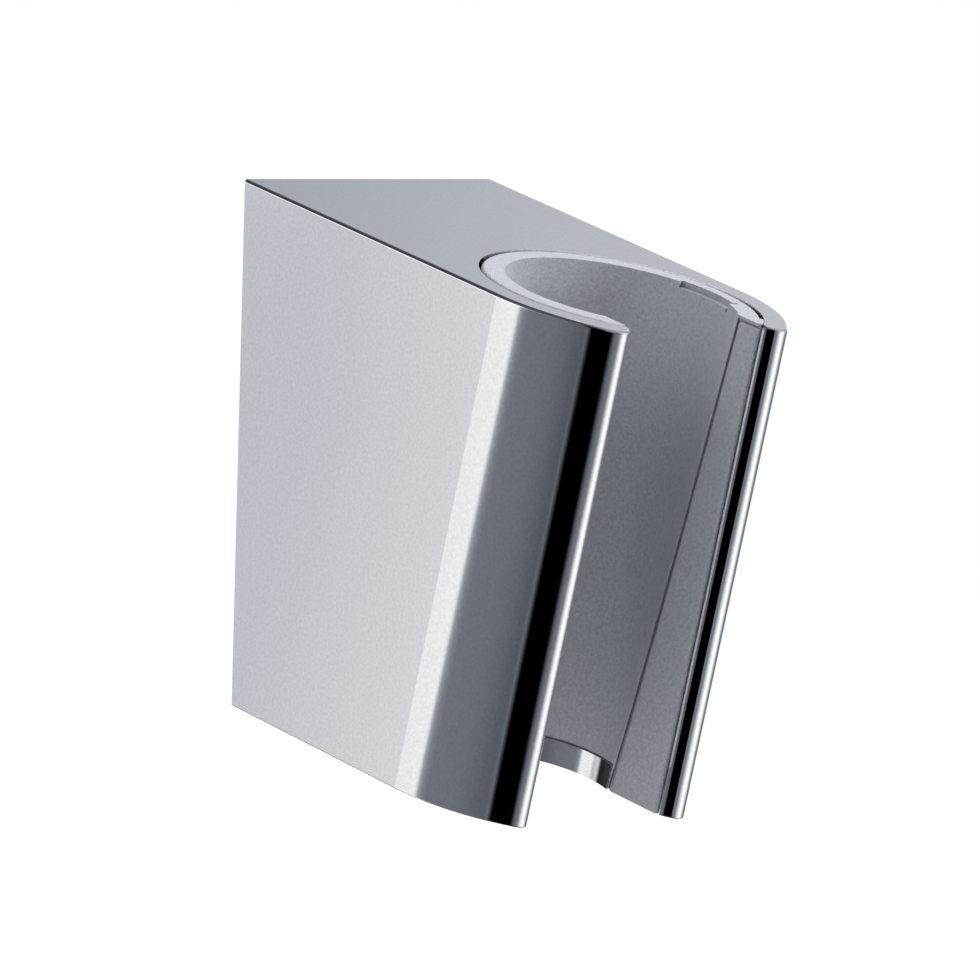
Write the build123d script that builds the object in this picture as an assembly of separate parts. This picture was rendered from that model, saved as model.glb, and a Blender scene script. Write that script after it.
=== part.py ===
"""Wall holder for a hand shower: a chromed housing with a leaning conical socket
and a moulded liner pushed into it.

Millimetres. The row frame has its origin at the middle of the wall face, +Y into
the wall, +Z up, and the slot opens towards -Y. The socket is drawn in a frame of
its own, with its origin on the socket's axis at the top face, +Y towards the wall
and +Z up the leaning axis, and is then tilted into place.
"""
from math import asin, cos, degrees, radians, sin, sqrt, tan
import os

from build123d import *

# Cone for the hose nut
CONE_MOUTH = 25.2           # diameter at the top face
CONE_DRAFT = 4.6            # how much narrower it is at the bottom face
SLOT_LIP = 0.6              # how far each flank stands in from the cone's foot

# Housing
BACK_HEIGHT = 56.6          # of the face that lies on the wall
AXIS_TILT = 14.6            # lean of the socket away from the wall, degrees
AXIS_SETBACK = 41.4         # wall to socket axis, down the sloping top face
LUG_WALL = 2.6              # of the curved wall round the socket
LUG_OUTER_EDGE = 1.2        # radius at the outside of the lugs' ends
LUG_INNER_EDGE = 1.0        # radius at their inside, which the bored seat cuts short
BORING = 0.5                # what boring the seat takes off the cored hole, all round
SHELL_WALL = 2.6            # of the sides, top and bottom round the rear pocket
BACK_WALL = 2.8             # between the rear pocket and the socket
RIM_RADIUS = 0.35           # on the outer edges of the top face
FOOT_RADIUS = 0.15          # on those of the bottom face
LEDGE_HEIGHT = 2.7          # of the ledge that the liner stands on

# Screw posts in the rear pocket
SCREW_SPACING = 26.0
SCREW_HOLE = 4.8            # diameter, for a 4.5 mm wall screw
SCREW_HEAD = 9.2            # diameter of the way in for its head
SCREW_SEAT = 4.0            # left under the head
POST_WALL = 2.0
WEB_THICKNESS = 2.0
POCKET_CORNER = 1.2         # inside radius of the pocket's deep corners

# Liner
LINER_RIM = 2.45            # width of the liner's rim at the top face
LINER_GAP = 0.35            # all round, between liner and housing
LINER_EDGE = 0.35           # radius round the outside of the rim
FLANK_EDGE = 0.4            # radius down the front edges of the flanks
FOOT_BEVEL = 0.25           # round the inside of the foot, above the ledge
LEG_CLEARANCE = 0.2         # between the liner's legs and the ledge's ends
RELIEF_WIDTH = 0.25         # of the fine groove between the cone and its flanks
RELIEF_DEPTH = 0.35
RELIEF_INSET = 0.06         # from the cone's wall to the groove
RELIEF_DROP = 0.3           # from the rim to the groove's top run
RELIEF_TURN = 0.4           # radius where it turns from the cone to the rim
KEY_SWEEP = 10.0            # of the two keys beside the slot, degrees round
KEY_CLEARANCE = 0.08        # between a key and the seat
NOTCH_START = 71.5          # lifting notch, degrees round from the slot
NOTCH_SWEEP = 36.0
NOTCH_WIDTH = 0.7           # cut into the rim
NOTCH_DEPTH = 0.65          # below the rim
SLIT_WIDTH = 0.4            # of the short slit at the notch's front end
SLIT_REACH = 1.2            # into the wall
SLIT_DEPTH = 1.0

# Sizes that follow from them
tilt = radians(AXIS_TILT)
body_length = BACK_HEIGHT * cos(tilt)
mouth_radius = CONE_MOUTH / 2
foot_radius = mouth_radius - CONE_DRAFT / 2
liner_radius = mouth_radius + LINER_RIM
seat_radius = liner_radius + LINER_GAP
front_radius = seat_radius + LUG_WALL
flank = foot_radius - SLOT_LIP
flank_angle = degrees(asin(flank / liner_radius))
lug_angle = degrees(asin(flank / seat_radius))
cored_radius = seat_radius - BORING
seat_depth = body_length - LEDGE_HEIGHT
ledge_end = -sqrt(foot_radius ** 2 - flank ** 2)
margin = 2 * front_radius   # how far a cutter runs past the part

top_edge = Vector(0, 0, BACK_HEIGHT / 2)
axis_at_top = top_edge + Vector(0, -cos(tilt), -sin(tilt)) * AXIS_SETBACK
socket = Plane(origin=axis_at_top, x_dir=(1, 0, 0), z_dir=(0, -sin(tilt), cos(tilt)))


def polar(radius, angle):
    """A point of the socket's section, with its angle in degrees round from the slot."""
    return radius * sin(radians(angle)), -radius * cos(radians(angle))


def slab(x0, x1, y0, y1):
    """A rectangle of the socket's section between two corners."""
    return Pos((x0 + x1) / 2, (y0 + y1) / 2) * Rectangle(x1 - x0, y1 - y0)


def sector(inner, outer, start, end):
    """A piece of a ring, between two angles round from the slot."""
    ring = Circle(outer) - Circle(inner)
    far = outer * 2
    wedge = make_face(Polyline((0, 0), polar(far, start), polar(far, (start + end) / 2),
                               polar(far, end), close=True))
    return ring & wedge


def down(section, depth, start=0.0):
    """Carries a section down the socket's axis, from start below the top face."""
    return Pos(0, 0, -start) * extrude(section, -depth)


def wall_cutter():
    """Everything on the wall's side of the wall face."""
    size = 4 * margin
    return Pos(0, size / 2, 0) * Box(size, size, size)


def rear_pocket():
    """The hollow cored into the housing from the wall side, in the socket's frame."""
    side = front_radius - SHELL_WALL
    behind = Circle(seat_radius + BACK_WALL)
    section = slab(-side, side, 0, AXIS_SETBACK + margin) - behind
    deep = section.vertices().sort_by(Axis.Y)[:2]
    section = fillet(deep, POCKET_CORNER)
    return down(section, body_length - 2 * SHELL_WALL, SHELL_WALL)


def screw_posts():
    """Two posts and the web that joins them, from the wall face to the socket."""
    reach = AXIS_SETBACK
    post_radius = SCREW_HEAD / 2 + POST_WALL
    web = Pos(0, -reach / 2, 0) * Box(WEB_THICKNESS, reach, BACK_HEIGHT * 2)
    posts = [Pos(0, 0, z) * Rot(90, 0, 0) * Cylinder(
        post_radius, reach, align=(Align.CENTER, Align.CENTER, Align.MIN))
        for z in screw_heights()]
    return web + posts[0] + posts[1]


def screw_heights():
    return SCREW_SPACING / 2, -SCREW_SPACING / 2


def screw_way(z):
    """The hole for one screw and the wider way in for its head, from the socket."""
    reach = axis_from_wall(z)
    seated = (Align.CENTER, Align.CENTER, Align.MIN)
    hole = Cylinder(SCREW_HOLE / 2, reach, align=seated)
    way_in = Cylinder(SCREW_HEAD / 2, reach - SCREW_SEAT, align=seated)
    return Pos(0, 0, z) * Rot(90, 0, 0) * (hole + Pos(0, 0, SCREW_SEAT) * way_in)


def axis_from_wall(z):
    """Distance from the wall to the socket's axis at one height."""
    return -axis_at_top.Y - (axis_at_top.Z - z) * tan(tilt)


def outline():
    """The housing's section across the socket: flat sides, a round front and the
    cored hole, open at the slot, with the four corners of the lugs rounded."""
    section = Circle(front_radius) + slab(
        -front_radius, front_radius, 0, AXIS_SETBACK + margin)
    section -= slot_wedge()
    section = fillet(section.vertices().sort_by(Axis.Y)[:2], LUG_OUTER_EDGE)
    section -= Circle(cored_radius)
    corner_x, corner_y = polar(cored_radius, lug_angle)
    inner_corners = section.vertices().sort_by(
        lambda corner: abs(abs(corner.X) - corner_x) + abs(corner.Y - corner_y))[:2]
    return fillet(inner_corners, LUG_INNER_EDGE)


def slot_wedge():
    """The opening between the lugs, whose ends point at the socket's axis."""
    return make_face(Polyline((0, 0), polar(margin, -lug_angle), (0, -margin * 2),
                              polar(margin, lug_angle), close=True))


def holder_body():
    """One die casting, cored from behind, with the socket's seat and ledge."""
    block = down(outline(), body_length)
    block = fillet(block.faces().sort_by(Axis.Z)[-1].edges(), RIM_RADIUS)
    block = fillet(block.faces().sort_by(Axis.Z)[0].edges(), FOOT_RADIUS)
    block = socket * (block - down(Circle(seat_radius), body_length))

    housing = block - socket * rear_pocket()
    housing += screw_posts() & block
    housing -= wall_cutter()

    ledge = (Circle(seat_radius + LUG_WALL / 2) - Circle(foot_radius)) & slab(
        -margin, margin, ledge_end, margin)
    housing += socket * down(ledge, LEDGE_HEIGHT, seat_depth)
    for z in screw_heights():
        housing -= screw_way(z)
    return housing


def liner_sleeve():
    """The liner turned as a full sleeve, with its rim rounded, in the socket's frame."""
    profile = make_face(Polyline((mouth_radius, 0), (liner_radius, 0),
                                 (liner_radius, -body_length),
                                 (foot_radius, -body_length), close=True))
    rim = profile.vertices().sort_by(Axis.Y)[-2:].sort_by(Axis.X)
    profile = fillet(rim[-1], LINER_EDGE)
    return revolve(Plane.XZ * profile, Axis.Z)


def grip_keys():
    """Two keys beside the slot that fill the gap there, still without their fit."""
    key = sector(liner_radius - LINER_GAP, seat_radius, 0, flank_angle + KEY_SWEEP)
    return down(key + mirror(key, Plane.YZ), body_length)


def slotted_section():
    """The room for the liner in the seat, open at the slot, its front edges rounded."""
    section = Circle(seat_radius - KEY_CLEARANCE) - slab(-flank, flank, -margin, 0)
    front_edges = section.vertices().sort_by(Axis.Y)[:2]
    return fillet(front_edges, FLANK_EDGE)


def relief_grooves():
    """The fine groove that parts each flank from the cone and from the rim."""
    start = mouth_radius + RELIEF_INSET
    narrowing = CONE_DRAFT / 2
    side = make_face(Polyline(
        (start, -RELIEF_DROP), (start + RELIEF_WIDTH, -RELIEF_DROP),
        (start + RELIEF_WIDTH - narrowing, -body_length - RELIEF_DROP),
        (start - narrowing, -body_length - RELIEF_DROP), close=True))
    top = slab(start, margin, -RELIEF_DROP - RELIEF_WIDTH, -RELIEF_DROP)
    profile = side + top
    turn = profile.vertices().sort_by_distance(
        (start + RELIEF_WIDTH, -RELIEF_DROP - RELIEF_WIDTH, 0))[0]
    ring = revolve(Plane.XZ * fillet(turn, RELIEF_TURN), Axis.Z)
    band = slab(-flank - RELIEF_DEPTH, flank + RELIEF_DEPTH, -margin, 0)
    return ring & down(band, body_length)


def foot_cut():
    """The room for the ledge between the legs, with a bevel round the cone's foot."""
    room = down(slab(-margin, margin, ledge_end - LEG_CLEARANCE, margin),
                LEDGE_HEIGHT, seat_depth)
    inside = mouth_radius - CONE_DRAFT / 2 * seat_depth / body_length
    profile = make_face(Polyline((inside, FOOT_BEVEL), (inside + FOOT_BEVEL, 0),
                                 (inside + FOOT_BEVEL, -LEDGE_HEIGHT),
                                 (inside - FOOT_BEVEL, -LEDGE_HEIGHT),
                                 (inside - FOOT_BEVEL, FOOT_BEVEL), close=True))
    bevel = Pos(0, 0, -seat_depth) * revolve(Plane.XZ * profile, Axis.Z)
    front = slab(-margin, margin, -margin, ledge_end - LEG_CLEARANCE)
    return room + (bevel - down(front, body_length))


def lifting_notch():
    """The pocket in the rim where the liner is levered out, with its short slit."""
    inside = mouth_radius - NOTCH_WIDTH
    outside = mouth_radius + NOTCH_WIDTH
    pocket = sector(inside, outside, NOTCH_START, NOTCH_START + NOTCH_SWEEP)
    half_slit = degrees(SLIT_WIDTH / 2 / mouth_radius)
    slit = sector(inside, mouth_radius + SLIT_REACH, NOTCH_START - half_slit,
                  NOTCH_START + half_slit)
    return down(pocket, NOTCH_DEPTH) + down(slit, SLIT_DEPTH)


def cone_liner():
    """One moulding: the cone, its two legs beside the slot, the keys and the notch."""
    sleeve = liner_sleeve()
    sleeve += grip_keys()
    sleeve -= relief_grooves()
    sleeve &= down(slotted_section(), body_length)
    sleeve -= foot_cut()
    sleeve -= lifting_notch()
    return socket * sleeve


os.makedirs("parts", exist_ok=True)
export_step(holder_body(), "parts/holder_body.step")
export_step(cone_liner(), "parts/cone_liner.step")
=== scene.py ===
"""Dresses the hand shower holder and photographs it.
"""
import math

import bpy
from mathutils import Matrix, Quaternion, Vector


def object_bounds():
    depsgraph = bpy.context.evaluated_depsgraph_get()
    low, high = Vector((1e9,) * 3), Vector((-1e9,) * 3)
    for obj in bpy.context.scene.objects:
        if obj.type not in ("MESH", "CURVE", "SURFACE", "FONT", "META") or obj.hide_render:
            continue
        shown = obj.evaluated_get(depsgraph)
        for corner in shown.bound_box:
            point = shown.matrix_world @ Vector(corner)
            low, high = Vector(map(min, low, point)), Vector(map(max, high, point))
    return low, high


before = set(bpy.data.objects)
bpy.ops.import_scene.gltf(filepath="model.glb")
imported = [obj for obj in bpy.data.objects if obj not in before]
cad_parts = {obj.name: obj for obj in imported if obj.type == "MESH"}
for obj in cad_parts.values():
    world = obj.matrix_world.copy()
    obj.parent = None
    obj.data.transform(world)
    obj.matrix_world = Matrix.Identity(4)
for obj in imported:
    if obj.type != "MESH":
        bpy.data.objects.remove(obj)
cad_box = [list(corner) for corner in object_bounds()]


# Housing
# One zinc die casting, ground, polished and chrome plated. It is screwed to the wall
# from inside the socket, and its back is open, with two screw posts and a web.

MM = 0.001


def linear(hex_colour):
    """An sRGB hex colour as the linear values that a shader takes."""
    parts = [int(hex_colour[i:i + 2], 16) / 255 for i in (1, 3, 5)]
    return [c / 12.92 if c <= 0.04045 else ((c + 0.055) / 1.055) ** 2.4 for c in parts] + [1.0]


def add_node(tree, kind, inputs=None, **settings):
    """Adds a node, sets its properties, and sets or links each named or numbered input."""
    node = tree.nodes.new(kind)
    for name, value in settings.items():
        setattr(node, name, value)
    for key, value in (inputs or {}).items():
        if isinstance(value, bpy.types.NodeSocket):
            tree.links.new(value, node.inputs[key])
        else:
            node.inputs[key].default_value = value
    return node


def new_material(name):
    """An empty material and its node tree."""
    material = bpy.data.materials.new(name)
    material.use_nodes = True
    tree = material.node_tree
    tree.nodes.clear()
    return material, tree


def place_on_piece(tree):
    """Where a point of the piece lies, in metres, for patterns to measure from."""
    return add_node(tree, "ShaderNodeTexCoord").outputs["Object"]


def noise(tree, place, grain, detail=2.0, roughness=0.5):
    """Noise whose blotches are about grain metres across."""
    return add_node(tree, "ShaderNodeTexNoise", {
        "Vector": place, "Scale": 1 / grain, "Detail": detail,
        "Roughness": roughness}).outputs["Fac"]


def spread(tree, value, low, high):
    """Carries the middle of a noise's range onto low to high."""
    return add_node(tree, "ShaderNodeMapRange", {
        "Value": value, "From Min": 0.25, "From Max": 0.75,
        "To Min": low, "To Max": high}).outputs["Result"]


def chrome_on_zinc():
    """Chrome plating over polished zinc: a clear mirror, very slightly blue. The
    polishing leaves a fine grain under it, and the plate is a little softer in places."""
    plating = "#EBEBEC"
    polish_grain = 0.34 * MM
    darkest_grain = 0.86
    soft_patches = 9 * MM
    clear, soft = 0.03, 0.045
    grain_relief = 0.01 * MM
    material, tree = new_material("chrome_plated_zinc")
    place = place_on_piece(tree)
    grain = noise(tree, place, polish_grain)
    tone = spread(tree, grain, darkest_grain, 1.0)
    colour = add_node(tree, "ShaderNodeMix", {
        0: 1.0, 6: linear(plating), 7: tone}, data_type="RGBA", blend_type="MULTIPLY")
    softness = spread(tree, noise(tree, place, soft_patches, 3), clear, soft)
    relief = add_node(tree, "ShaderNodeBump", {
        "Height": grain, "Strength": 0.02, "Distance": grain_relief})
    shader = add_node(tree, "ShaderNodeBsdfPrincipled", {
        "Base Color": colour.outputs[2], "Metallic": 1.0, "Roughness": softness,
        "Normal": relief.outputs["Normal"]})
    add_node(tree, "ShaderNodeOutputMaterial", {"Surface": shader.outputs["BSDF"]})
    return material


def dress(node, material):
    """Gives a carried-over piece its finish."""
    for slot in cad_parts[node].material_slots:
        slot.material = material


dress("holder_body", chrome_on_zinc())


# Liner
# One moulding of silver grey ABS, pushed into the housing's round seat from above
# until it stands on the ledge. Its cone holds the hose nut and keeps it off the metal.

def satin_plastic():
    """Moulded ABS out of a finely eroded tool: satin, with a very fine even grain that
    is drawn about twice its real size so that it shows."""
    pigment = "#A3A7AE"
    tool_grain = 0.3 * MM
    darkest_grain = 0.70
    flow_patches = 14 * MM
    sleek, dull = 0.34, 0.40
    grain_relief = 0.01 * MM
    material, tree = new_material("satin_grey_abs")
    place = place_on_piece(tree)
    grain = noise(tree, place, tool_grain)
    tone = spread(tree, grain, darkest_grain, 1.0)
    colour = add_node(tree, "ShaderNodeMix", {
        0: 1.0, 6: linear(pigment), 7: tone}, data_type="RGBA", blend_type="MULTIPLY")
    softness = spread(tree, noise(tree, place, flow_patches, 3), sleek, dull)
    relief = add_node(tree, "ShaderNodeBump", {
        "Height": grain, "Strength": 0.25, "Distance": grain_relief})
    shader = add_node(tree, "ShaderNodeBsdfPrincipled", {
        "Base Color": colour.outputs[2], "Roughness": softness, "IOR": 1.54,
        "Normal": relief.outputs["Normal"]})
    add_node(tree, "ShaderNodeOutputMaterial", {"Surface": shader.outputs["BSDF"]})
    return material


dress("cone_liner", satin_plastic())


# Floor
# A plain white sweep under the holder, which would otherwise hang on a wall. It shows
# white to the camera and still takes a soft shadow.

def white_floor():
    """Matt white paper, lifted to white for the camera."""
    paper = "#E8E8E8"
    lift_to_white = 1.12
    material, tree = new_material("white_paper")
    matt = add_node(tree, "ShaderNodeBsdfDiffuse", {"Color": linear(paper)})
    lift = add_node(tree, "ShaderNodeEmission", {"Color": linear(paper), "Strength": lift_to_white})
    both = add_node(tree, "ShaderNodeAddShader", {
        0: matt.outputs[0], 1: lift.outputs[0]})
    path = add_node(tree, "ShaderNodeLightPath")
    seen = add_node(tree, "ShaderNodeMixShader", {
        0: path.outputs["Is Camera Ray"], 1: matt.outputs[0], 2: both.outputs[0]})
    add_node(tree, "ShaderNodeOutputMaterial", {"Surface": seen.outputs[0]})
    return material


floor_drop = 0.11
floor_half = 4.0
corners = [(x, y, cad_box[0][2] - floor_drop) for x, y in (
    (-floor_half, -floor_half), (floor_half, -floor_half),
    (floor_half, floor_half), (-floor_half, floor_half))]
floor_mesh = bpy.data.meshes.new("floor")
floor_mesh.from_pydata(corners, [], [(0, 1, 2, 3)])
floor = bpy.data.objects.new("floor", floor_mesh)
bpy.context.scene.collection.objects.link(floor)
floor_mesh.materials.append(white_floor())
floor.visible_glossy = False


# Studio
# White all round for the camera. The chrome mirrors a ring of upright cards round the
# holder: a white one with a leaning edge on the left, grey ones in front, one black, and
# a white one on the right. Cards above the horizon meet the top face and its edges.

def ramp(tree, value, stops):
    """Turns a value from 0 to 1 into a grey or a colour, straight from stop to stop."""
    node = add_node(tree, "ShaderNodeValToRGB", {"Fac": value})
    while len(node.color_ramp.elements) < len(stops):
        node.color_ramp.elements.new(0.5)
    for element, (position, colour) in zip(node.color_ramp.elements, stops):
        element.position = position
        element.color = [*colour, 1.0]
    return node.outputs["Color"]


def arithmetic(tree, operation, first, second):
    """Works one value out of two, by the name of the operation."""
    return add_node(tree, "ShaderNodeMath", {
        0: first, 1: second}, operation=operation).outputs[0]


def of_turn(azimuth):
    """A compass angle as a part of the turn that starts on the right."""
    return (azimuth + 180) / 360


def of_height(sine):
    """The sine of an elevation, carried onto 0 to 1."""
    return (sine + 1) / 2


def card_colour(level):
    """Bright cards are neutral, and the darker ones are bluer."""
    shade = 1 - min(level, 1.0)
    return level * (1 - 0.1 * shade), level, level * (1 + 0.2 * shade)


def ring_of(tree, turn, cards):
    """The colour of a ring of cards, each blending into the next."""
    return ramp(tree, turn, [(of_turn(at), card_colour(level)) for at, level in cards])


def studio_world():
    """The ring of cards for mirrored rays, white for the camera, soft grey for the rest.
    Compass angles are in degrees: 0 is left, 90 in front, 180 right and -90 the wall."""
    left, front, right = 0, 90, 180
    cards = (
        # behind the holder: light on the right, dark, then a strip of light on the left
        (left - 180, 0.12),
        (left - 146, 0.75),
        (left - 90, 0.04),
        (left - 62.5, 0.02),
        (left - 57, 0.80),
        # pale card, mirrored by the flat side
        (left - 52, 0.645),
        (left - 49.6, 0.65),
        (left - 49.2, 0.68),
        (left - 48.2, 0.85),
        # white card, mirrored where the round front starts
        (left - 47.2, 1.05),
        (left - 43, 1.045),
        (left - 30.5, 1.075),
        (left - 28.6, 0.95),
        (left - 27.2, 0.58),
        # grey cards
        (left - 25, 0.36),
        (left - 22, 0.265),
        (left - 17, 0.21),
        (left + 2, 0.195),
        (left + 11, 0.165),
        (left + 22, 0.115),
        # black card, with a light line at its left edge
        (left + 25.0, 0.175),
        (left + 25.45, 0.0),
        (front - 49.7, 0.0),
        # grey to white, mirrored by the ends of the lugs
        (front - 49.1, 0.175),
        (front - 38, 0.16),
        (front - 30, 0.178),
        (front, 0.68),
        (front + 22, 1.04),
        (front + 40, 0.90),
        (front + 62, 0.51),
        (right - 10, 0.18),
    )
    high_cards = (
        # pale, mirrored by the top face
        (left - 160, 0.5),
        (left - 143, 0.76),
        (left - 137.4, 0.545),
        (left - 135, 0.375),
        # dark, mirrored by the top face's rounded edges
        (left - 124, 0.14),
        (left - 100, 0.07),
        (left - 46, 0.05),
        (left - 42, 0.11),
        (left + 38, 0.08),
        (left + 46, 0.28),
        (left + 60, 0.5),
        (right, 0.5),
    )
    part_of_lean = (
        # only the right edge of the white card leans
        (left - 44, 0.17),
        (left - 38, 1.0),
        (left - 12, 1.0),
        (left + 10, 0.0),
    )
    lean_below, lean_above = 5.0, -7.24
    strength_by_height = (
        (-0.65, 0.5),
        (-0.50, 1.35),
        (-0.41, 1.35),
        (-0.34, 1.0),
        (-0.03, 1.0),
        (-0.01, 1.6),
        (0.15, 1.6),
        (0.20, 1.0),
    )
    high_by_height = (
        (0.10, 0.0),
        (0.34, 1.0),
    )
    world = bpy.data.worlds.new("studio")
    world.use_nodes = True
    tree = world.node_tree
    tree.nodes.clear()
    ray = add_node(tree, "ShaderNodeTexCoord").outputs["Generated"]
    axes = add_node(tree, "ShaderNodeSeparateXYZ", {0: ray}).outputs
    to_left = arithmetic(tree, "MULTIPLY", axes["X"], -1.0)
    to_front = arithmetic(tree, "MULTIPLY", axes["Y"], -1.0)
    angle = arithmetic(tree, "ARCTAN2", to_front, to_left)
    turn = add_node(tree, "ShaderNodeMapRange", {
        "Value": angle, "From Min": -math.pi, "From Max": math.pi}).outputs[0]
    leaning = ramp(tree, turn, [(of_turn(at), [part] * 3) for at, part in part_of_lean])
    drift = add_node(tree, "ShaderNodeMapRange", {
        "Value": axes["Z"], "From Min": -0.20, "From Max": -0.05,
        "To Min": lean_below / 360, "To Max": lean_above / 360}).outputs[0]
    leant = arithmetic(tree, "ADD", turn, arithmetic(tree, "MULTIPLY", leaning, drift))
    height = add_node(tree, "ShaderNodeMapRange", {
        "Value": axes["Z"], "From Min": -1.0, "From Max": 1.0}).outputs[0]
    is_high = ramp(tree, height, [
        (of_height(sine), [part] * 3) for sine, part in high_by_height])
    strength = ramp(tree, height, [
        (of_height(sine), [part] * 3) for sine, part in strength_by_height])
    stacked = add_node(tree, "ShaderNodeMix", {
        0: is_high, 6: ring_of(tree, leant, cards), 7: ring_of(tree, turn, high_cards)},
        data_type="RGBA").outputs[2]
    banded = add_node(tree, "ShaderNodeMix", {
        0: 1.0, 6: stacked, 7: strength}, data_type="RGBA", blend_type="MULTIPLY").outputs[2]
    mirrored = add_node(tree, "ShaderNodeBackground", {"Color": banded, "Strength": 1.0})
    soft = add_node(tree, "ShaderNodeBackground", {
        "Color": linear("#F2F4F8"), "Strength": 0.15})
    white = add_node(tree, "ShaderNodeBackground", {"Color": linear("#FFFFFF"), "Strength": 1.0})
    path = add_node(tree, "ShaderNodeLightPath")
    bounced = add_node(tree, "ShaderNodeMixShader", {
        0: path.outputs["Is Glossy Ray"], 1: soft.outputs[0], 2: mirrored.outputs[0]})
    shown = add_node(tree, "ShaderNodeMixShader", {
        0: path.outputs["Is Camera Ray"], 1: bounced.outputs[0], 2: white.outputs[0]})
    add_node(tree, "ShaderNodeOutputWorld", {"Surface": shown.outputs[0]})
    return world


bpy.context.scene.world = studio_world()


def softbox(name, place, size, watts):
    """A square lamp in a softbox, turned to the holder. It lights the liner and the
    floor, and the chrome doesn't mirror it."""
    middle_of_holder = Vector((0, -0.03, 0))
    lamp = bpy.data.lights.new(name, "AREA")
    lamp.size = size
    lamp.energy = watts
    box = bpy.data.objects.new(name, lamp)
    box.location = place
    box.rotation_mode = "QUATERNION"
    box.rotation_quaternion = (middle_of_holder - Vector(place)).to_track_quat("-Z", "Y")
    box.visible_glossy = False
    bpy.context.scene.collection.objects.link(box)


softbox("lamp_above", (0.15, 0.25, 0.75), 0.5, 7.0)
softbox("lamp_top_right", (0.6, -0.1, 0.5), 0.4, 6.7)
softbox("lamp_front_right", (0.6, -0.7, 0.15), 0.4, 6.4)
softbox("lamp_top_left", (-0.6, 0, 0.6), 0.4, 0.4)
softbox("lamp_left_front", (-0.75, -0.3, 0.35), 0.3, 1.2)
softbox("lamp_left_back", (-0.7, 0.2, 0.3), 0.4, 1.5)


# Camera
# A long lens from the left and a little above, aimed just off the holder, so that it
# stands in the picture where it stands in the photograph.

aim = Vector((0, -28.8, 2.3)) * MM
distance = 1.13123
azimuth = math.radians(-43.25)
elevation = math.radians(2.987)
roll = math.radians(1.559)
aim_left = math.radians(0.2947)
aim_down = math.radians(0.3038)
back = Vector((math.sin(azimuth) * math.cos(elevation),
               -math.cos(azimuth) * math.cos(elevation), math.sin(elevation)))
lens = bpy.data.cameras.new("camera")
lens.lens = 390.25
lens.sensor_width = 36
lens.clip_start = 0.05
lens.clip_end = 20
camera = bpy.data.objects.new("camera", lens)
camera.location = aim + back * distance
camera.rotation_mode = "QUATERNION"
camera.rotation_quaternion = (
    (-back).to_track_quat("-Z", "Y") @ Quaternion((0, 0, 1), roll)
    @ Quaternion((0, 1, 0), aim_left) @ Quaternion((1, 0, 0), -aim_down))
bpy.context.scene.collection.objects.link(camera)
bpy.context.scene.camera = camera
bpy.context.scene.view_settings.view_transform = "Standard"
